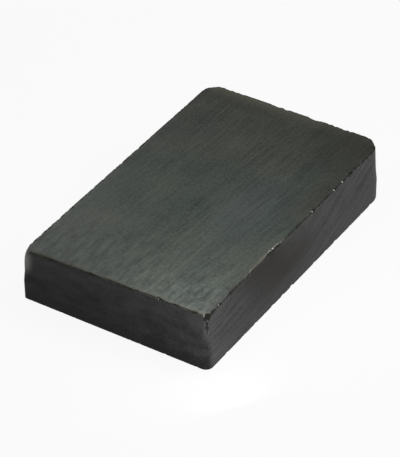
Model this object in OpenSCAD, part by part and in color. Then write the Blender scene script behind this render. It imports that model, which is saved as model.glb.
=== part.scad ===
// Ferrite block magnet: one rectangular block, pressed in a die, fired and ground flat on its
// two pole faces. Lengths are in millimetres. X is the width, Y the length and Z the height.
// The origin is in the middle of the lower pole face.
//
// The sides carry one profile all the way round: a foot that stands a little proud, a soft step
// where the die opened, and a slight lean up to the top. The front side is also a little hollow.
// Every corner has its own radius, and the sharp ground edges have lost small flakes.

/* [Block] */
// length of the foot, along the long sides
block_length = 40; // [30:0.5:60]
// width of the foot, along the short sides
block_width = 25; // [18:0.5:40]
// height between the two ground pole faces
block_height = 7; // [5.5:0.25:15]

/* [Side profile] */
// height of the foot, the lower part of the sides that stands proud
foot_height = 2.4; // [1:0.1:4]
// how far the sides step in above the foot
step_depth = 0.16; // [0.06:0.02:0.4]
// height over which the step blends in
step_rise = 1.5; // [0.4:0.1:2.2]
// how far each side leans in from the step up to the top face
side_lean = 0.24; // [0.06:0.02:0.46]

/* [Corner radii at the foot] */
// front left corner, the sharpest
front_left_radius = 0.7; // [0.5:0.1:6]
// front right corner, nearest the eye
front_right_radius = 0.9; // [0.5:0.1:6]
// back right corner
back_right_radius = 2.8; // [0.5:0.1:6]
// back left corner
back_left_radius = 2.4; // [0.5:0.1:6]

/* [Hollow of the front side] */
// how far the middle of the front top edge lies behind its two ends
hollow_depth = 0.15; // [0.05:0.05:0.6]
// how far the hollow keeps from the two rounded corners
hollow_margin = 0.8; // [0.4:0.1:3]

/* [Flakes lost from the top edges] */
// front edge, as [place from its middle, width, depth]
front_flakes = [[-8.6, 1, 0.12], [-3.1, 1.4, 0.14], [2.9, 1.1, 0.13], [5.6, 0.9, 0.18],
    [7.9, 1.5, 0.16], [10.1, 1.7, 0.26]];
// right edge, as [place from its middle, width, depth]
right_flakes = [[-18.4, 1, 0.18], [-16.9, 1.1, 0.3], [-14.3, 1.6, 0.28], [-9.8, 1.2, 0.14],
    [-5.6, 4.2, 0.22], [-1.2, 1.1, 0.13], [3.2, 1.1, 0.2], [4.7, 1.7, 0.28], [8.4, 1.5, 0.32],
    [10.3, 1.1, 0.22], [11.9, 1.3, 0.26], [14.7, 1, 0.18]];
// back edge, as [place from its middle, width, depth]
back_flakes = [[-8.3, 0.9, 0.12], [-2.5, 1.2, 0.16], [2.8, 2.2, 0.3], [6.4, 1.3, 0.14]];

/* [Flakes lost from the corners] */
// front right corner, as [width, depth]
front_corner_flake = [2.8, 0.5];
// back right corner, as [width, depth]
back_corner_flake = [2.2, 0.3];
// nick in the front right upright edge, as [height above the lower face, width, depth]
upright_nick = [5.6, 0.8, 0.12];

/* [Hidden] */
half_length = block_length / 2;
half_width = block_width / 2;
foot_top = foot_height + step_rise;
top_inset = step_depth + side_lean;
// corners and sides both run anticlockwise, from the front left corner and the front side
corner_radii = [front_left_radius, front_right_radius, back_right_radius, back_left_radius];
corner_signs = [[-1, -1], [1, -1], [1, 1], [-1, 1]];
sides = [0, 1, 2, 3];
// the hollow is a thin slice of a very large drum, which leans and clears the side at the step
drum_clearance = 0.04;
slice_thickness = 2;
hollow_left = front_left_radius + hollow_margin - half_width;
hollow_right = half_width - front_right_radius - hollow_margin;
hollow_middle = (hollow_left + hollow_right) / 2;
hollow_half = (hollow_right - hollow_left) / 2;
drum_radius = (hollow_half * hollow_half + hollow_depth * hollow_depth) / (2 * hollow_depth);
drum_lean = atan((side_lean + hollow_depth + drum_clearance) / (block_height - foot_top));
slice_overrun = 1;
slice_height = block_height - foot_top + slice_overrun;
round_steps = 96;
drum_steps = 1440;
flake_steps = 48;

// one side in section, from its own middle line outwards to reach
function side_profile(reach) = [
    [0, 0],
    [reach, 0],
    [reach, foot_height],
    [reach - step_depth, foot_top],
    [reach - top_inset, block_height],
    [0, block_height]
];

// how far a side lies inside the foot at this height
function inset_at(height) =
    lookup(height, [[foot_height, 0], [foot_top, step_depth], [block_height, top_inset]]);

// where the hollow front side meets the top face, at this place along it
function front_edge_y(place) =
    let (share = (place - hollow_middle) / hollow_half)
    inset_at(block_height) + hollow_depth * max(0, 1 - share * share) - half_length;

// the outermost point of a rounded corner at this height
function corner_point(corner, height) =
    let (pull = corner_radii[corner] * (1 - cos(45)) + inset_at(height) * cos(45))
    [
        corner_signs[corner][0] * (half_width - pull),
        corner_signs[corner][1] * (half_length - pull),
        height
    ];

// radius of the ball that leaves a scar of this width and depth in a straight edge
function scar_radius(width, depth) = (width * width / 4 + depth * depth) / (2 * depth);

// the profile drawn straight along one side, between the two corners that end it
module straight_side(side) {
    along_length = side % 2 == 1;
    reach = along_length ? half_width : half_length;
    half_run = along_length ? half_length : half_width;
    run_start = corner_radii[side] - half_run;
    run_end = half_run - corner_radii[(side + 1) % 4];
    rotate([0, 0, 270 + 90 * side])
        translate([0, run_end, 0])
            rotate([90, 0, 0])
                linear_extrude(run_end - run_start)
                    polygon(side_profile(reach));
}

// the same profile turned about the upright axis of one corner
module turned_corner(corner) {
    radius = corner_radii[corner];
    signs = corner_signs[corner];
    translate([signs[0] * (half_width - radius), signs[1] * (half_length - radius), 0])
        rotate_extrude($fn = round_steps)
            polygon(side_profile(radius));
}

// the slice of the drum that hollows the upper part of the front side, deepest at the top edge
module hollowing_slice() {
    translate([hollow_middle, step_depth - drum_clearance - half_length, foot_top])
        rotate([-drum_lean, 0, 0])
            intersection() {
                translate([0, -drum_radius, 0])
                    cylinder(r = drum_radius, h = slice_height, $fn = drum_steps);
                translate([-half_width, -slice_thickness, 0])
                    cube([block_width, slice_thickness + hollow_depth, slice_height]);
            }
}

// the ball that takes one flake: it bites in at place, against the outward direction
module flake(place, outward, width, depth) {
    radius = scar_radius(width, depth);
    translate(place + outward / norm(outward) * (radius - depth))
        sphere(r = radius, $fn = flake_steps);
}

// flakes along the three top edges that show
module top_edge_flakes() {
    for (f = front_flakes)
        flake([f[0], front_edge_y(f[0]), block_height], [0, -1, 1], f[1], f[2]);
    for (f = right_flakes)
        flake([half_width - top_inset, f[0], block_height], [1, 0, 1], f[1], f[2]);
    for (f = back_flakes)
        flake([f[0], half_length - top_inset, block_height], [0, 1, 1], f[1], f[2]);
}

// flakes at two top corners, and the nick in the front right upright edge
module corner_flakes() {
    flake(corner_point(1, block_height), [1, -1, 1], front_corner_flake[0], front_corner_flake[1]);
    flake(corner_point(2, block_height), [1, 1, 1], back_corner_flake[0], back_corner_flake[1]);
    flake(corner_point(1, upright_nick[0]), [1, -1, 0], upright_nick[1], upright_nick[2]);
}

// the whole magnet
module magnet() {
    color([0.27, 0.28, 0.27])
        difference() {
            union() {
                for (side = sides)
                    straight_side(side);
                for (corner = sides)
                    turned_corner(corner);
            }
            hollowing_slice();
            top_edge_flakes();
            corner_flakes();
        }
}

magnet();
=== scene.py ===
# %% [markdown]
# A block magnet of hard ferrite
#
# The real piece is one slab of sintered hard ferrite, a dark grey iron ceramic. Powder is pressed
# in a die, the slab is fired, and only its two pole faces are ground flat. So it has two kinds of
# skin, ground faces with fine parallel lines and dull fired sides, and sharp brittle edges that
# have lost small flakes.
#
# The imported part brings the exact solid. This script dresses it: one detailed mesh with the same
# profile and corners takes its place on screen, because the chipped edges need far more points
# than a solid should have. Everything is in metres, in the part's own frame.

import math

import bpy
import numpy as np
from mathutils import Matrix, Vector


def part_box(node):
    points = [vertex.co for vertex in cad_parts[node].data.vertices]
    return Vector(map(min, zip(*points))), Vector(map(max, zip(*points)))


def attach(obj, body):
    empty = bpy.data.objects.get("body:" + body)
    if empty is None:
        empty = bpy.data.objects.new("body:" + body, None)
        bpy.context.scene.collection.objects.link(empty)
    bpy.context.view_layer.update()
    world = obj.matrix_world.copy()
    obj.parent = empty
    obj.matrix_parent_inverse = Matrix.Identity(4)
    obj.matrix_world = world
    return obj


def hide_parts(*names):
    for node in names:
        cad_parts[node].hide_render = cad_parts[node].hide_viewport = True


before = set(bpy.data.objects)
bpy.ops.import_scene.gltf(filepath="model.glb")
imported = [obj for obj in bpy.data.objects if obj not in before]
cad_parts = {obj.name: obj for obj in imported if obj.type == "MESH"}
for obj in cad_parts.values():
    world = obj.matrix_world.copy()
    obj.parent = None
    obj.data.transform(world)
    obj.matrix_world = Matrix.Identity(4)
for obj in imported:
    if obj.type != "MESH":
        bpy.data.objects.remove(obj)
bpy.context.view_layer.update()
MM = 0.001
slab_low, slab_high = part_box("magnet")
slab_width = (slab_high.x - slab_low.x) / MM
slab_length = (slab_high.y - slab_low.y) / MM
slab_height = (slab_high.z - slab_low.z) / MM
print(f"slab: {slab_width:.1f} x {slab_length:.1f} x {slab_height:.1f} mm")

# %% [markdown]
# The camera
#
# The photograph was taken from the front right, well above the slab, with a long lens from about
# 0.3 m away. Its angles were worked out from the outline of the slab. The camera is placed on
# that line of sight from a point near the middle of the slab, and rolled a little, because the
# picture was not held quite level.

# %% Place the camera
camera_azimuth = math.radians(32.817)
camera_elevation = math.radians(37.043)
camera_roll = math.radians(-0.691)
camera_distance = 296.38 * MM
camera_aim = Vector((-2.326, 1.597, 0)) * MM
camera_lens_mm = 197.33

towards_camera = Vector((
    math.sin(camera_azimuth) * math.cos(camera_elevation),
    -math.cos(camera_azimuth) * math.cos(camera_elevation),
    math.sin(camera_elevation),
))
level_right = Vector((0, 0, 1)).cross(towards_camera).normalized()
level_up = towards_camera.cross(level_right)
rolled_right = math.cos(camera_roll) * level_right + math.sin(camera_roll) * level_up
rolled_up = math.cos(camera_roll) * level_up - math.sin(camera_roll) * level_right

camera_data = bpy.data.cameras.new("studio_camera")
camera_data.lens = camera_lens_mm
camera_data.sensor_width = 36
camera_data.clip_start = 0.01
camera_data.clip_end = 20
camera = bpy.data.objects.new("studio_camera", camera_data)
camera.matrix_world = Matrix.Translation(camera_aim + towards_camera * camera_distance) @ Matrix((
    rolled_right, rolled_up, towards_camera)).transposed().to_4x4()
bpy.context.scene.collection.objects.link(camera)
bpy.context.scene.camera = camera
print("camera at", [round(c / MM) for c in camera.matrix_world.translation], "mm")

# %% [markdown]
# The outline of the slab, seen from above
#
# A pressed slab is a rectangle with rounded corners, and each corner of this one has worn and
# shrunk to its own radius. A ring of points runs round that outline. Every ring has the same
# number of points in the same order, so any two rings can be joined by a band of four-sided faces.

# %% Rings of points round the outline
corner_radii = [0.45, 0.9, 2.8, 2.4]
corner_signs = [(-1, -1), (1, -1), (1, 1), (-1, 1)]
point_spacing = 0.13
corner_steps = [max(8, math.ceil(r * math.pi / 2 / point_spacing)) for r in corner_radii]


def corner_arc(corner, half_width, half_length, radius):
    """The points of one rounded corner, running anticlockwise."""
    sign_x, sign_y = corner_signs[corner]
    turn = math.pi + corner * math.pi / 2
    turn = turn + np.linspace(0, math.pi / 2, corner_steps[corner] + 1)
    x = sign_x * (half_width - radius) + radius * np.cos(turn)
    y = sign_y * (half_length - radius) + radius * np.sin(turn)
    return np.stack([x, y], axis=1)


def outline_ring(inset, radii):
    """A closed ring of points, this far inside the foot of the slab, in millimetres."""
    half_width, half_length = slab_width / 2 - inset, slab_length / 2 - inset
    arcs = [corner_arc(i, half_width, half_length, radii[i]) for i in range(4)]
    points = []
    for i in range(4):
        run = slab_length if i % 2 else slab_width
        steps = round(run / point_spacing)
        share = np.linspace(0, 1, steps + 1)[1:-1, None]
        points += [arcs[i], arcs[i][-1] + share * (arcs[(i + 1) % 4][0] - arcs[i][-1])]
    return np.concatenate(points)


print(f"one ring has {len(outline_ring(0, corner_radii))} points")

# %% [markdown]
# The side profile
#
# The sides are not quite upright. The foot stands a little proud, there is a soft step where the
# die opened, and above it the sides lean in. The upper part of the front side is also slightly
# hollow. Firing shrinks dense and loose powder by different amounts, and that pulls such shapes.
# The top of the front left corner is worn round, and so is the foot of the back right corner.
# The right side leans in a little more than the others, most of all where its upper edge is worn,
# about ten millimetres from the front. The upper front edge runs slightly askew.

# %% How far the side lies inside the foot
foot_height = 2.4
foot_top = 3.9
step_depth = 0.16
top_inset = 0.40
hollow_depth = 0.08
hollow_left = -11.0
hollow_right = 10.8
worn_top = 1.2
worn_foot = 0.3
right_lean = 0.12
right_wear = 0.2
front_skew = 0.029


def side_inset(height):
    return np.interp(height, [foot_height, foot_top, slab_height], [0, step_depth, top_inset])


def side_ring(height):
    """The ring of the sides at this height, with the hollow of the front side."""
    inset = float(side_inset(height))
    climb = max(0, (height - foot_top) / (slab_height - foot_top))
    radii = [r - inset for r in corner_radii]
    radii[0] += worn_top * climb ** 4
    radii[2] += worn_foot * (1 - climb)
    ring = outline_ring(inset, radii)
    middle, half = (hollow_left + hollow_right) / 2, (hollow_right - hollow_left) / 2
    along = np.clip(1 - ((ring[:, 0] - middle) / half) ** 2, 0, None)
    on_front = ring[:, 1] < -slab_length / 2 + inset + 0.001
    ring[:, 1] += hollow_depth * climb * along * on_front
    near_front = np.clip((-ring[:, 1] - 17) / 2, 0, 1)
    ring[:, 1] += front_skew * climb * ring[:, 0] * near_front
    worn = np.clip(1.3 - np.abs(ring[:, 1] + 9) / 7, 0, 1)
    lean = right_lean * climb + right_wear * climb ** 4 * worn
    ring[:, 0] -= lean * np.clip((ring[:, 0] - 9) / 2, 0, 1) * np.clip((20 - ring[:, 1]) / 8, 0, 1)
    return np.column_stack([ring, np.full(len(ring), height)])


print(f"the top edge lies {side_inset(slab_height):.2f} mm inside the foot")

# %% [markdown]
# The skin of the slab
#
# The skin is a stack of rings: across the lower face, up the sides, and in across the upper face.
# The rings lie close together near the edges, where the flakes will bite, and far apart
# elsewhere. The flat middle of each pole face is a single many-sided face.

# %% Stack the rings
edge_steps = [0.04, 0.09, 0.15, 0.22, 0.3, 0.4, 0.5, 0.62, 0.76, 0.92, 1.1, 1.35, 1.7]
side_heights = [0, *edge_steps, 2.05, 2.4, 2.7, 3.1, 3.5, 3.9, 4.3, 4.8]
side_heights += [slab_height - step for step in reversed(edge_steps)] + [slab_height]
face_margin = 2.2


def face_rings(rim, inset):
    """Rings that run from a rim straight in to a smaller, rounder ring on the same face."""
    inner_radii = [max(0.6, r - inset - face_margin) for r in corner_radii]
    inner = outline_ring(inset + face_margin, inner_radii)
    inner = np.column_stack([inner, np.full(len(inner), rim[0, 2])])
    shares = [step / face_margin for step in edge_steps] + [1]
    return [rim + share * (inner - rim) for share in shares]


sides = [side_ring(height) for height in side_heights]
lower = face_rings(sides[0], 0.0)
upper = face_rings(sides[-1], top_inset)
rings = np.stack(lower[::-1] + sides + upper)
ring_count, ring_size = rings.shape[:2]
points = rings.reshape(-1, 3)
print(f"{ring_count} rings, {len(points)} points")

# %% [markdown]
# The worn rim of the upper face
#
# Where the ground face meets a fired side, the edge is first a knife edge. It soon rubs round
# and crumbles. The front edge is rubbed most, so its rim is rounded over about half a millimetre
# and painted pale, partly as wear and partly as a painted highlight where the rounded rim catches
# the light. A stretch of the right edge, a little in front of its middle, gets the same pale
# paint and painted highlight. In places just below the front rim the side gets a dark line of
# broken skin. At the left of the back edge a pale band, partly wear and partly painted sheen,
# fades out over two millimetres. The other edges are crumbled: a thin dark broken line whose
# width changes from place to place. All these widths follow slow random waves that run round
# the outline.

# %% Round the rim and set how far it has crumbled
rim_width = 0.6
rim_drop = 0.14
from_edge = np.full(ring_count, 9.0)
first_side, last_side = len(lower), len(lower) + len(sides) - 1
from_edge[first_side:last_side + 1] = [slab_height - height for height in side_heights]
from_edge[last_side + 1:] = [*edge_steps, face_margin]


def wander(seed, shortest_mm, longest_mm, waves=40):
    """A random wave round the outline, about 0 to 1, with one value for each ring point."""
    dice = np.random.default_rng(seed)
    turn = np.arange(ring_size) * 2 * math.pi / ring_size
    outline_mm = 2 * (slab_width + slab_length)
    counts = (outline_mm / dice.uniform(shortest_mm, longest_mm, waves)).round()
    total = sum(np.sin(turn * count + dice.uniform(0, 2 * math.pi)) for count in counts)
    return np.clip(0.5 + total / math.sqrt(8 * waves), 0, 1)


edge_x, edge_y = sides[-1][:, 0], sides[-1][:, 1]
# This mask sets where the rim is worn round, and also where it is painted pale: partly wear,
# partly a painted highlight where the rounded rim catches the light.
on_front = np.clip((-edge_y - 18.4) / 0.8, 0, 1)
right_wear_and_sheen = np.clip(1.5 - np.abs(edge_y + 7.5) / 4, 0, 1) * (edge_x > 11)
wear_and_sheen = np.clip(on_front + right_wear_and_sheen, 0, 1) * (0.5 + wander(3, 1.5, 9))
crumbled = (0.05 + 0.24 * wander(5, 0.7, 5) ** 1.5) * (1 - 0.8 * np.clip(wear_and_sheen, 0, 1))
below_rim = 0.2 * wander(7, 0.8, 6) * on_front
on_back = np.clip((edge_y - 18.4) / 0.8, 0, 1) * np.clip((9 - edge_x) / 11, 0.15, 1)
upper_rings = range(last_side, ring_count)
for ring in upper_rings:
    nearness = max(0, 1 - from_edge[ring] / rim_width)
    rings[ring, :, 2] -= rim_drop * (0.2 + wear_and_sheen) * nearness ** 2
tangent = np.roll(sides[-1], -1, axis=0) - np.roll(sides[-1], 1, axis=0)
inward = np.column_stack([-tangent[:, 1], tangent[:, 0]])
inward /= np.linalg.norm(inward, axis=1)[:, None]
for ring in range(first_side, last_side + 1):
    nearness = max(0, 1 - from_edge[ring] / rim_width)
    rings[ring, :, :2] += inward * (rim_drop * wear_and_sheen * on_front * nearness ** 2)[:, None]
print(f"rim: crumbled {crumbled.min():.2f} to {crumbled.max():.2f} mm wide")

# %% [markdown]
# Flakes lost from the edges
#
# Ferrite breaks like flint. A knock on a sharp edge lifts off a shallow shell-shaped flake and
# leaves a scoop. A scoop of given width and depth is the near side of a ball, so each flake is a
# ball that stands outside the edge and pushes in every point of the skin that it covers. The
# large flakes stand where those of the part's source stand.

# %% Balls that push scoops into the skin
half_width, half_length = slab_width / 2, slab_length / 2
front_flakes = [(-8.6, 1, 0.12), (-3.1, 1.4, 0.14), (2.9, 1.1, 0.13), (5.6, 0.9, 0.18),
                (7.9, 1.5, 0.16), (10.1, 1.7, 0.12)]
right_flakes = [(-18.4, 1, 0.18), (-16.9, 1.1, 0.2), (-14.3, 1.6, 0.2), (-9.8, 1.2, 0.14),
                (-5.6, 4.2, 0.22), (-1.2, 1.1, 0.13), (3.2, 1.1, 0.2), (4.7, 1.7, 0.2),
                (8.4, 1.5, 0.22), (10.3, 1.1, 0.22), (11.9, 1.3, 0.26), (14.7, 1, 0.18)]
back_flakes = [(-8.3, 0.9, 0.08), (-2.5, 1.2, 0.1), (2.8, 2.2, 0.15), (6.4, 1.3, 0.07)]
front_corner_flake = (1.9, 0.34)
back_corner_flake = (2.2, 0.18)
corner_specks = [(6.1, 0.45, 0.12), (5.65, 0.6, 0.14), (5.3, 0.6, 0.13)]
bitten = np.zeros(len(points))
rim = (rings[last_side] + sides[-1]) / 2


def bite(place, outward, width, depth, raggedness=0.0):
    """Pushes a scoop of this width and depth into the skin at a place on an edge."""
    outward = np.array(outward, float) / np.linalg.norm(outward)
    radius = (width ** 2 / 4 + depth ** 2) / (2 * depth)
    centre = np.array(place, float) + outward * (radius - depth)
    away = points - centre
    distance = np.linalg.norm(away, axis=1)
    ripple = np.sin(away @ (9.1, 4.3, 6.7)) * np.sin(away @ (-5.2, 8.8, 3.9) + 1.3)
    reach = radius + raggedness * depth * ripple
    inside = distance < reach
    bitten[inside] += reach[inside] - distance[inside]
    points[inside] = centre + away[inside] / distance[inside, None] * reach[inside, None]


def rim_at(x, y):
    """The number of the rim point nearest to this place."""
    return int(np.argmin(np.hypot(rim[:, 0] - x, rim[:, 1] - y)))


def front_corner_at(height):
    """The outermost point of the front right corner at this height."""
    ring = side_ring(height)
    return ring[np.argmax(ring[:, 0] - ring[:, 1])]


for x, width, depth in front_flakes:
    bite(rim[rim_at(x, -half_length)], (0, -1, 1), width, depth, 0.25)
for y, width, depth in right_flakes:
    bite(rim[rim_at(half_width, y)], (1, 0, 1), width, depth, 0.25)
for x, width, depth in back_flakes:
    bite(rim[rim_at(x, half_length)], (0, 1, 1), width, depth, 0.25)
bite(rim[rim_at(half_width, -half_length)], (1, -1, 1), *front_corner_flake, 0.3)
bite(rim[rim_at(half_width, half_length)], (1, 1, 1), *back_corner_flake, 0.3)
for height, width, depth in corner_specks:
    bite(front_corner_at(height), (1, -1, 0), width, depth)
print(f"large flakes moved {np.count_nonzero(bitten)} points")

# %% [markdown]
# Crumbled edges
#
# Between the large flakes a ground edge is never a clean line. The grinding wheel and later
# handling crumble it into a row of tiny nicks, some tenths of a millimetre long. The same balls
# are strewn along every edge at random, with a fixed seed, so that the edge is the same each run.

# %% Strew small nicks along the edges
dice = np.random.default_rng(11)


def crumble(path, outward_tilt, spacing, widest):
    """Small nicks along a ring of edge points. The tilt is the share of up in their direction."""
    steps = np.linalg.norm(np.roll(path, -1, axis=0) - path, axis=1)
    travelled = np.concatenate([[0], np.cumsum(steps)])[:-1]
    place = 0.0
    while place < travelled[-1]:
        at = int(np.searchsorted(travelled, place))
        tangent = path[(at + 1) % len(path)] - path[at - 1]
        outward = np.array([tangent[1], -tangent[0], 0]) / np.linalg.norm(tangent)
        width = widest * dice.uniform(0.2, 1) ** 2.2
        depth = width * dice.uniform(0.08, 0.16)
        lean = outward_tilt * dice.uniform(0.6, 1.5)
        bite(path[at], outward + np.array([0, 0, lean]), width, depth)
        place += spacing * dice.uniform(0.3, 1.7)


crumble(rim, 1.0, 0.5, 0.95)
crumble(side_ring(0), -1.0, 1.6, 0.8)
print(f"with the nicks, {np.count_nonzero(bitten)} points have moved")

# %% [markdown]
# From rings to one mesh
#
# Neighbouring rings are joined with four-sided faces, and the first and last ring are closed.
# Each face is given its skin: ground, fired, broken where a flake has bitten deep enough to show,
# where the rim has crumbled or just below the front rim, and on a few spots at the edge a pale
# crystal skin that is a painted glint of single cleaved crystals catching the light.

# %% Join the rings
GROUND, FIRED, BROKEN, PAINTED_GLINT = 0, 1, 2, 3
broken_depth = 0.06
worn_reach = 1.8
# Spots at the edge, and a streak along the right edge, that get the pale crystal skin: painted
# glints.
painted_glint_radius = 0.085
painted_glint_inset = 0.12
painted_glints = [(11.4, -half_length), (half_width, -16.7), (5.5, -half_length), (half_width, 3.4),
          (half_width, 8.35), (half_width, 10.4), (half_width, -3.5)]
painted_streak_radius = 0.05
painted_streak_inset = 0.26
painted_glint_streak = [(half_width, y) for y in np.linspace(-6.0, -3.6, 18)]


def ring_face(ring, i):
    start, after = ring * ring_size, (ring + 1) * ring_size
    j = (i + 1) % ring_size
    return start + i, start + j, after + j, after + i


faces = [ring_face(ring, i) for ring in range(ring_count - 1) for i in range(ring_size)]
bands = np.repeat(np.arange(ring_count - 1), ring_size)
is_side = (bands >= len(lower)) & (bands < len(lower) + len(sides) - 1)
skins = np.where(is_side, FIRED, GROUND)
is_broken = bitten[np.array(faces)].mean(axis=1) > broken_depth
reach = (from_edge[:-1, None] + from_edge[1:, None]) / 2
is_crumbled = (reach < crumbled[None, :]).ravel()
is_below_rim = ((reach < below_rim[None, :]) & (reach > 0.05)).ravel() & is_side
middles = points[np.array(faces)].mean(axis=1)
is_worn = np.hypot(middles[:, 0] + half_width, middles[:, 1] + half_length) < worn_reach
skins[(is_broken | is_crumbled | is_below_rim) & ~is_worn] = BROKEN
# Faces near these spots get the pale crystal skin, a painted glint.
for x, y, radius, inset in ([(*place, painted_glint_radius, painted_glint_inset) for place in painted_glints]
                            + [(*place, painted_streak_radius, painted_streak_inset) for place in painted_glint_streak]):
    here = rim_at(x, y)
    x, y = rim[here, :2] + inset * inward[here]
    is_near = np.hypot(middles[:, 0] - x, middles[:, 1] - y) < radius
    skins[is_near & (middles[:, 2] > slab_height - 0.35)] = PAINTED_GLINT
last_ring = (ring_count - 1) * ring_size
faces.append(tuple(range(ring_size))[::-1])
faces.append(tuple(range(last_ring, last_ring + ring_size)))
skins = np.append(skins, [GROUND, GROUND])

slab_mesh = bpy.data.meshes.new("ferrite_slab")
slab_mesh.from_pydata((points * MM + [0, 0, slab_low.z]).tolist(), [], faces)
slab_mesh.validate()
slab_mesh.shade_smooth()
slab_mesh.set_sharp_from_angle(angle=math.radians(24))
slab = bpy.data.objects.new("ferrite_slab", slab_mesh)
bpy.context.scene.collection.objects.link(slab)
slab_mesh.polygons.foreach_set("material_index", skins.astype(np.int32))
# Pale paint along the rims of the ground face: partly wear, partly a painted highlight and sheen.
front_rub_and_sheen = 0.7
front_fade = 0.9
back_rub_and_sheen = 1.3
back_fade = 1.6
nearness = front_rub_and_sheen * np.clip(1 - from_edge / front_fade, 0, 1)[:, None]
fading = back_rub_and_sheen * np.clip(1 - from_edge / face_margin, 0, 1)[:, None] ** back_fade
fading[:last_side] = 0
rub_and_sheen_values = np.maximum(nearness * wear_and_sheen[None, :], fading * on_back[None, :])
rub_and_sheen = slab_mesh.attributes.new("rub_and_sheen", "FLOAT", "POINT")
rub_and_sheen.data.foreach_set("value", rub_and_sheen_values.ravel())
triangles = sum(len(p.vertices) - 2 for p in slab_mesh.polygons)
print(f"slab mesh: {len(slab_mesh.polygons)} faces, {triangles} triangles")

# %% [markdown]
# Tools for the materials
#
# Colours are written as they are seen, in sRGB hex, and turned to the linear values that the
# shaders use. Patterns are laid out in millimetres, on the object's own coordinates.

# %% Colour and node helpers


def linear(hex_text):
    """A colour such as 4A4D4A, as seen on screen, as linear red, green, blue and alpha."""
    seen = [int(hex_text[i:i + 2], 16) / 255 for i in (0, 2, 4)]
    return [c / 12.92 if c <= 0.04045 else ((c + 0.055) / 1.055) ** 2.4 for c in seen] + [1]


def add_node(tree, kind, settings=None, links=None):
    """Adds a node. Settings name its own options or its sockets, links name its sockets."""
    node = tree.nodes.new(kind)
    for name, value in (settings or {}).items():
        if isinstance(name, str) and hasattr(node, name):
            setattr(node, name, value)
        else:
            node.inputs[name].default_value = value
    for name, source in (links or {}).items():
        tree.links.new(source, node.inputs[name])
    return node


def new_material(name):
    """An empty material, with its millimetre coordinates and its output node."""
    material = bpy.data.materials.new(name)
    material.use_nodes = True
    tree = material.node_tree
    tree.nodes.clear()
    place = add_node(tree, "ShaderNodeTexCoord").outputs["Object"]
    in_mm = add_node(tree, "ShaderNodeVectorMath", {"operation": "SCALE", "Scale": 1 / MM},
                     {0: place}).outputs[0]
    output = add_node(tree, "ShaderNodeOutputMaterial")
    return material, tree, in_mm, output


# %% [markdown]
# Ground ferrite
#
# The pole faces are cut by a diamond wheel that runs along the slab. The grit leaves fine
# parallel scratches a few hundredths of a millimetre wide. They are too fine for this picture, so
# they are drawn 0.2 to 0.4 mm wide, as the bunches of scratches that the eye sees. The slab lay a
# little askew under the wheel, so they cross it at a few degrees. Between them
# the crystal grain shows. Towards the front broad streaks, and near the front right corner
# flecks, are drawn with strong light and dark: partly burnish, partly a painted sheen. A few
# deeper scratches run side by side right of the middle, on a faint bluish stain. Ground ferrite
# is a dark greenish grey with a soft sheen, a little browner towards the back and most of all at
# the back right corner.

# %% The ground pole faces
fine_line = (0.2, 2.0)
line = (0.38, 6.0)
streak = (0.55, 2.6)
fleck = (0.7, 1.0)
# Where the streaks and flecks are drawn strongest: partly burnish, partly painted sheen.
burnish_and_sheen_place = (8.5, -17.5, 7.0)
burnish_and_sheen_size = (9.0, 7.0, 4.0)
band = (1.6, 18.0)
grain_size = 0.32
cloud_size = 6.0
scratches = [(5.4, 1.6, 4.5), (6.25, 0.4, 6.0), (6.6, -1.5, 3.5), (7.4, 4.4, 2.6), (0.9, 8.0, 4.0)]
scratch_width = 0.13
line_slant = 0.08
line_drift = 0.8
stains = [((6.0, 0.0, 7.0), (7.0, 11.0, 4.0), 0.35, "51585C"),
          ((11.5, 4.5, 7.0), (4.5, 8.0, 4.0), 0.35, "3B342E"),
          ((11.0, 17.0, 7.0), (9.0, 12.0, 4.0), 0.5, "2F2F28")]


def noise_layer(tree, coordinates, size, detail=2.0, roughness=0.5):
    """Soft noise whose patches measure about this size, one number or one for each axis."""
    size = size if isinstance(size, (list, tuple)) else (size, size, size)
    stretched = add_node(tree, "ShaderNodeVectorMath", {
        "operation": "MULTIPLY", 1: [1 / s for s in size]}, {0: coordinates}).outputs[0]
    return add_node(tree, "ShaderNodeTexNoise", {
        "Scale": 1.0, "Detail": detail, "Roughness": roughness},
        {"Vector": stretched}).outputs["Fac"]


def weighted_sum(tree, parts, start):
    """start plus weight times (value minus one half), for each value and weight."""
    total = None
    for value, weight in parts:
        settings = {"operation": "MULTIPLY_ADD", 1: weight}
        if total is None:
            settings[2] = start - sum(w for _, w in parts) / 2
            total = add_node(tree, "ShaderNodeMath", settings, {0: value}).outputs[0]
        else:
            total = add_node(tree, "ShaderNodeMath", settings, {0: value, 2: total}).outputs[0]
    return total


def soft_spot(tree, coordinates, place, size):
    """One at this place in millimetres, fading to nothing at this distance along each axis."""
    away = add_node(tree, "ShaderNodeVectorMath", {"operation": "SUBTRACT", 1: place},
                    {0: coordinates}).outputs[0]
    shared = add_node(tree, "ShaderNodeVectorMath", {"operation": "DIVIDE", 1: size},
                      {0: away}).outputs[0]
    distance = add_node(tree, "ShaderNodeVectorMath", {"operation": "LENGTH"},
                        {0: shared}).outputs["Value"]
    return add_node(tree, "ShaderNodeMapRange", {
        "interpolation_type": "SMOOTHSTEP", "From Min": 1.0, "From Max": 0.0},
        {"Value": distance}).outputs[0]


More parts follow.
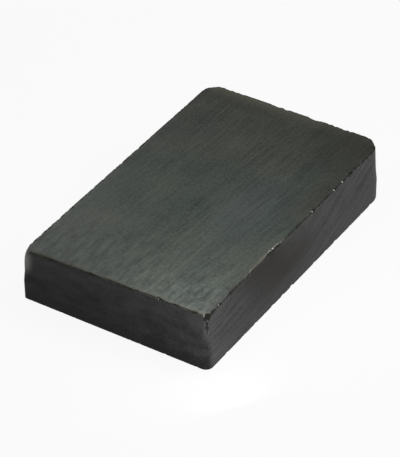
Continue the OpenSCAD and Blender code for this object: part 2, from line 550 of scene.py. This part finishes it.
def ground_ferrite():
    material, tree, in_mm, output = new_material("ground_ferrite")
    drift = add_node(tree, "ShaderNodeTexNoise", {"Scale": 0.09, "Detail": 0.0},
                     {"Vector": in_mm}).outputs["Color"]
    along = add_node(tree, "ShaderNodeSeparateXYZ", {}, {0: in_mm}).outputs["Y"]
    turned = add_node(tree, "ShaderNodeVectorMath", {
        "operation": "MULTIPLY_ADD", 1: (line_drift, 0, 0)}, {0: drift, 2: in_mm}).outputs[0]
    turned = add_node(tree, "ShaderNodeVectorMath", {
        "operation": "MULTIPLY_ADD", 1: (-line_slant, 0, 0)}, {0: along, 2: turned}).outputs[0]
    at_front = add_node(tree, "ShaderNodeMapRange", {
        "From Min": -6.0, "From Max": -19.0}, {"Value": along}).outputs[0]
    fine_lines = noise_layer(tree, turned, (*fine_line, 1), 2, 0.6)
    lines = noise_layer(tree, turned, (*line, 1), 2, 0.6)
    bands = noise_layer(tree, turned, (*band, 1), 2, 0.5)
    grain = noise_layer(tree, in_mm, grain_size, 2, 0.6)
    clouds = noise_layer(tree, in_mm, cloud_size, 2, 0.5)
    # Streaks towards the front and flecks near the front right corner: partly burnish, partly a
    # painted sheen.
    streaks = add_node(tree, "ShaderNodeMix", {"data_type": "FLOAT", 2: 0.5}, {
        0: at_front, 3: noise_layer(tree, turned, (*streak, 1), 3, 0.6)}).outputs[0]
    near_corner = soft_spot(tree, in_mm, burnish_and_sheen_place, burnish_and_sheen_size)
    flecks = add_node(tree, "ShaderNodeMix", {"data_type": "FLOAT", 2: 0.5}, {
        0: near_corner, 3: noise_layer(tree, turned, (*fleck, 1), 2, 0.6)}).outputs[0]
    tone = weighted_sum(tree, [(fine_lines, 0.38), (lines, 0.63), (streaks, 2.1), (bands, 0.4),
                               (grain, 1.05), (clouds, 0.6), (flecks, 1.8)], 0.5)
    for x, y, half_run in scratches:
        turned_x = x + line_drift / 2 - line_slant * y
        scratch = soft_spot(tree, turned, (turned_x, y, slab_height),
                            (scratch_width, half_run, 1))
        tone = add_node(tree, "ShaderNodeMath", {"operation": "MULTIPLY_ADD", 1: -0.65},
                        {0: scratch, 2: tone}).outputs[0]
    at_back = add_node(tree, "ShaderNodeMapRange", {
        "From Min": 0.0, "From Max": 18.0}, {"Value": along}).outputs[0]
    hue = weighted_sum(tree, [(clouds, 1.6), (at_back, 0.7)], 0.75)
    dark = add_node(tree, "ShaderNodeMix", {
        "data_type": "RGBA", 6: linear("1F2623"), 7: linear("252622")}, {0: hue}).outputs[2]
    light = add_node(tree, "ShaderNodeMix", {
        "data_type": "RGBA", 6: linear("515D55"), 7: linear("575A51")}, {0: hue}).outputs[2]
    colour = add_node(tree, "ShaderNodeMix", {"data_type": "RGBA"},
                      {0: tone, 6: dark, 7: light}).outputs[2]
    for stain_place, stain_size, stain_strength, stain_colour in stains:
        stain = soft_spot(tree, in_mm, stain_place, stain_size)
        stain = weighted_sum(tree, [(stain, stain_strength)], stain_strength / 2)
        colour = add_node(tree, "ShaderNodeMix", {
            "data_type": "RGBA", 7: linear(stain_colour)}, {0: stain, 6: colour}).outputs[2]
    # The rims are painted pale here: partly wear, partly a painted highlight.
    rub_and_sheen = add_node(tree, "ShaderNodeAttribute", {"attribute_name": "rub_and_sheen"}).outputs["Fac"]
    colour = add_node(tree, "ShaderNodeMix", {"data_type": "RGBA", 7: linear("5C5A4D")},
                      {0: rub_and_sheen, 6: colour}).outputs[2]
    sheen = weighted_sum(tree, [(lines, 0.2), (bands, 0.1), (rub_and_sheen, 0.2)], 0.52)
    height = weighted_sum(tree, [(fine_lines, 0.5), (lines, 1.0), (grain, 0.5)], 0.5)
    bump = add_node(tree, "ShaderNodeBump", {"Strength": 0.6, "Distance": 0.02 * MM},
                    {"Height": height}).outputs[0]
    shader = add_node(tree, "ShaderNodeBsdfPrincipled", {"IOR": 1.5}, {
        "Base Color": colour, "Roughness": sheen, "Normal": bump}).outputs[0]
    tree.links.new(shader, output.inputs["Surface"])
    return material


# %% [markdown]
# Fired ferrite
#
# The sides keep the skin that the die and the kiln gave them. It is duller and more neutral than
# the ground faces. Where the slab slid out of the die it carries faint drag lines. On the long
# sides they start level at the front and climb towards the back, as the slab left the die askew.
# The short sides are smeared instead, in soft level blotches, and drawn darker towards the foot.

# %% The fired sides
drag_width = 0.28
drag_length = 6.0
drag_climb = 0.0055
smear_size = (2.6, 2.6, 1.1)
# Two soft patches on the right side, below its upper edge, that are drawn darker.
dark_side_patches = [((12.5, -8.5, 6.6), (3.0, 9.0, 3.0), 0.9), ((12.5, -3.8, 3.8), (3.0, 10.5, 4.2), 0.95)]
# A pale spot on the top of the front left corner: a painted highlight where the rounded corner
# catches the light.
painted_highlight_place = (-12.6, -20.2, 5.7)
painted_highlight_size = (1.9, 2.5, 3.0)


def fired_ferrite():
    material, tree, in_mm, output = new_material("fired_ferrite")
    axes = add_node(tree, "ShaderNodeSeparateXYZ", {}, {0: in_mm})
    from_front = add_node(tree, "ShaderNodeMath", {
        "operation": "ADD", 1: half_length}, {0: axes.outputs["Y"]}).outputs[0]
    squared = add_node(tree, "ShaderNodeMath", {"operation": "POWER", 1: 2.0},
                       {0: from_front}).outputs[0]
    across = add_node(tree, "ShaderNodeMath", {"operation": "MULTIPLY_ADD", 1: -drag_climb},
                      {0: squared, 2: axes.outputs["Z"]}).outputs[0]
    drag_place = add_node(tree, "ShaderNodeCombineXYZ", {}, {
        "X": axes.outputs["X"], "Y": axes.outputs["Y"], "Z": across}).outputs[0]
    drag = noise_layer(tree, drag_place, (1, drag_length, drag_width), 3, 0.6)
    facing = add_node(tree, "ShaderNodeSeparateXYZ", {}, {
        0: add_node(tree, "ShaderNodeNewGeometry").outputs["Normal"]}).outputs["X"]
    on_long_side = add_node(tree, "ShaderNodeMath", {"operation": "ABSOLUTE"},
                            {0: facing}).outputs[0]
    on_long_side = add_node(tree, "ShaderNodeMapRange", {
        "From Min": 0.7, "From Max": 1.0}, {"Value": on_long_side}).outputs[0]
    smear = noise_layer(tree, in_mm, smear_size, 2, 0.5)
    drag_shown = add_node(tree, "ShaderNodeMix", {"data_type": "FLOAT"},
                          {0: on_long_side, 2: smear, 3: drag}).outputs[0]
    # The short sides are drawn darker towards the foot; the long sides keep an even tone.
    upward = add_node(tree, "ShaderNodeMapRange", {
        "From Min": 0.0, "From Max": 7.0}, {"Value": axes.outputs["Z"]}).outputs[0]
    upward = add_node(tree, "ShaderNodeMix", {"data_type": "FLOAT", 3: 0.48}, {
        0: on_long_side, 2: upward}).outputs[0]
    grain = noise_layer(tree, in_mm, grain_size, 2, 0.6)
    clouds = noise_layer(tree, in_mm, cloud_size, 2, 0.5)
    tone = weighted_sum(tree, [(drag_shown, 1.5), (grain, 0.85), (clouds, 0.5),
                               (upward, 1.2)], 0.5)
    colour = add_node(tree, "ShaderNodeMix", {
        "data_type": "RGBA", 6: linear("1B1B1B"), 7: linear("4C4C4C")},
        {0: tone}).outputs[2]
    # The right side is drawn darker in these patches.
    spots = [(soft_spot(tree, in_mm, place, size), weight) for place, size, weight in dark_side_patches]
    dark_side_patch = weighted_sum(tree, [*spots, (clouds, 0.8)], sum(w for _, w in spots) / 2 - 0.05)
    colour = add_node(tree, "ShaderNodeMix", {"data_type": "RGBA", 7: linear("1E1B17")},
                      {0: dark_side_patch, 6: colour}).outputs[2]
    # Painted highlight on the front left corner.
    pale = soft_spot(tree, in_mm, painted_highlight_place, painted_highlight_size)
    colour = add_node(tree, "ShaderNodeMix", {"data_type": "RGBA", 7: linear("D2D2CE")},
                      {0: pale, 6: colour}).outputs[2]
    bump = add_node(tree, "ShaderNodeBump", {"Strength": 0.35, "Distance": 0.02 * MM},
                    {"Height": weighted_sum(tree, [(drag_shown, 1.0), (grain, 0.6)], 0.5)})
    shader = add_node(tree, "ShaderNodeBsdfPrincipled", {
        "IOR": 1.5, "Specular IOR Level": 0.2, "Roughness": 0.65}, {
        "Base Color": colour, "Normal": bump.outputs[0]}).outputs[0]
    tree.links.new(shader, output.inputs["Surface"])
    return material


# %% [markdown]
# Broken ferrite
#
# A fresh break shows the bare crystals. It is rough and dark, with single grains that flash where
# they face the light. The breaks are drawn darker towards the right edge.

# %% The broken flakes
break_grain = 0.22


def broken_ferrite():
    material, tree, in_mm, output = new_material("broken_ferrite")
    grain = noise_layer(tree, in_mm, break_grain, 3, 0.7)
    colour = add_node(tree, "ShaderNodeMix", {
        "data_type": "RGBA", 6: linear("24241F"), 7: linear("42413A")},
        {0: grain}).outputs[2]
    # Darker towards the right edge.
    across = add_node(tree, "ShaderNodeSeparateXYZ", {}, {0: in_mm}).outputs["X"]
    right_darkening = add_node(tree, "ShaderNodeMapRange", {
        "From Min": 9.0, "From Max": 11.5, "To Max": 0.5}, {"Value": across}).outputs[0]
    colour = add_node(tree, "ShaderNodeMix", {"data_type": "RGBA", 7: linear("151512")},
                      {0: right_darkening, 6: colour}).outputs[2]
    bump = add_node(tree, "ShaderNodeBump", {"Strength": 0.8, "Distance": 0.06 * MM},
                    {"Height": grain}).outputs[0]
    shader = add_node(tree, "ShaderNodeBsdfPrincipled", {
        "IOR": 1.5, "Specular IOR Level": 0.2, "Roughness": 0.75}, {
        "Base Color": colour, "Normal": bump}).outputs[0]
    tree.links.new(shader, output.inputs["Surface"])
    return material


# A pale crystal skin for a few spots at the edge: a painted glint, lighter than any ferrite.
def painted_glint_crystal():
    material, tree, in_mm, output = new_material("painted_glint_crystal")
    grain = noise_layer(tree, in_mm, 0.2, 2, 0.6)
    colour = add_node(tree, "ShaderNodeMix", {
        "data_type": "RGBA", 6: linear("5E5E58"), 7: linear("AAAAA4")},
        {0: grain}).outputs[2]
    shader = add_node(tree, "ShaderNodeBsdfPrincipled", {"IOR": 1.6, "Roughness": 0.3}, {
        "Base Color": colour}).outputs[0]
    tree.links.new(shader, output.inputs["Surface"])
    return material


for skin in (ground_ferrite(), fired_ferrite(), broken_ferrite(), painted_glint_crystal()):
    slab_mesh.materials.append(skin)
print("materials:", [m.name for m in slab_mesh.materials])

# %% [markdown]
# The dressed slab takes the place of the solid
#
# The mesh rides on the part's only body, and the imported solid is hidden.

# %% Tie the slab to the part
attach(slab, "root")
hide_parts("magnet")

# %% [markdown]
# The studio
#
# The slab lies on a plain white sheet. The sheet is white to the camera and in reflections, and a
# little of its own shading is kept, so that the slab's soft shadow still shows. Three small soft
# boxes hang close above the slab and face its front right corner, where the ground face is
# brightest. Two smaller ones stand right at that corner. Six larger ones stand further off. Those
# on the right light the long side, and the two on the left give the back edge its pale sheen.

# %% The floor
floor_size = 3.0
floor_glow = 0.92

floor_material, floor_tree, _, floor_output = new_material("white_sheet")
sheet_shader = add_node(floor_tree, "ShaderNodeBsdfDiffuse", {"Color": linear("F4F4F4")})
glow_shader = add_node(floor_tree, "ShaderNodeEmission", {"Strength": 1.0})
seen_by = add_node(floor_tree, "ShaderNodeLightPath")
seen = add_node(floor_tree, "ShaderNodeMath", {"operation": "MAXIMUM"}, {
    0: seen_by.outputs["Is Camera Ray"], 1: seen_by.outputs["Is Glossy Ray"]}).outputs[0]
seen = add_node(floor_tree, "ShaderNodeMath", {"operation": "MAXIMUM"}, {
    0: seen, 1: seen_by.outputs["Is Transmission Ray"]}).outputs[0]
share = add_node(floor_tree, "ShaderNodeMath", {
    "operation": "MULTIPLY", 1: floor_glow}, {0: seen}).outputs[0]
floor_mix = add_node(floor_tree, "ShaderNodeMixShader", {}, {
    0: share, 1: sheet_shader.outputs[0], 2: glow_shader.outputs[0]})
floor_tree.links.new(floor_mix.outputs[0], floor_output.inputs["Surface"])

floor_mesh = bpy.data.meshes.new("white_sheet")
floor_half = floor_size / 2
floor_mesh.from_pydata(
    [(-floor_half, -floor_half, 0), (floor_half, -floor_half, 0),
     (floor_half, floor_half, 0), (-floor_half, floor_half, 0)], [], [(0, 1, 2, 3)])
floor_mesh.materials.append(floor_material)
floor = bpy.data.objects.new("white_sheet", floor_mesh)
bpy.context.scene.collection.objects.link(floor)

# %% The lights


MILLIWATT = 0.001


def soft_box(name, place_mm, size_mm, power_mw, aim_mm=(0, 0, 3)):
    """A square lamp at a place in millimetres, turned to face a point on the slab."""
    data = bpy.data.lights.new(name, "AREA")
    data.shape = "SQUARE"
    data.size = size_mm * MM
    data.energy = power_mw * MILLIWATT
    lamp = bpy.data.objects.new(name, data)
    lamp.location = Vector(place_mm) * MM
    direction = Vector(aim_mm) * MM - lamp.location
    lamp.rotation_euler = direction.to_track_quat("-Z", "Y").to_euler()
    bpy.context.scene.collection.objects.link(lamp)
    return lamp


soft_box("near_box", (0, -4, 34), 22, 2.4, (9, -15, 6))
soft_box("near_left_box", (-24, -4, 34), 22, 0.7, (9, -15, 6))
soft_box("near_right_box", (24, -1, 34), 22, 2.4, (9, -15, 6))
soft_box("low_near_box", (8, -18, 15), 8, 0.45, (9, -19, 6))
soft_box("corner_box", (17.5, -23, 4.7), 7, 0.42, (11.5, -19, 3))
soft_box("high_right_box", (150, 120, 235), 150, 185)
soft_box("right_box", (200, 200, 100), 150, 76)
soft_box("low_right_box", (84, 84, 22), 70, 34)
soft_box("back_right_box", (140, 190, 30), 70, 130)
soft_box("back_left_box", (-210, 130, 160), 150, 92)
soft_box("low_left_box", (-250, 30, 60), 120, 50)

world = bpy.data.worlds.new("studio_air")
world.use_nodes = True
world_tree = world.node_tree
world_tree.nodes.clear()
air = add_node(world_tree, "ShaderNodeBackground", {
    "Color": linear("F0F2F4"), "Strength": 0.12})
world_output = add_node(world_tree, "ShaderNodeOutputWorld")
world_tree.links.new(air.outputs[0], world_output.inputs["Surface"])
bpy.context.scene.world = world
bpy.context.scene.view_settings.view_transform = "Standard"
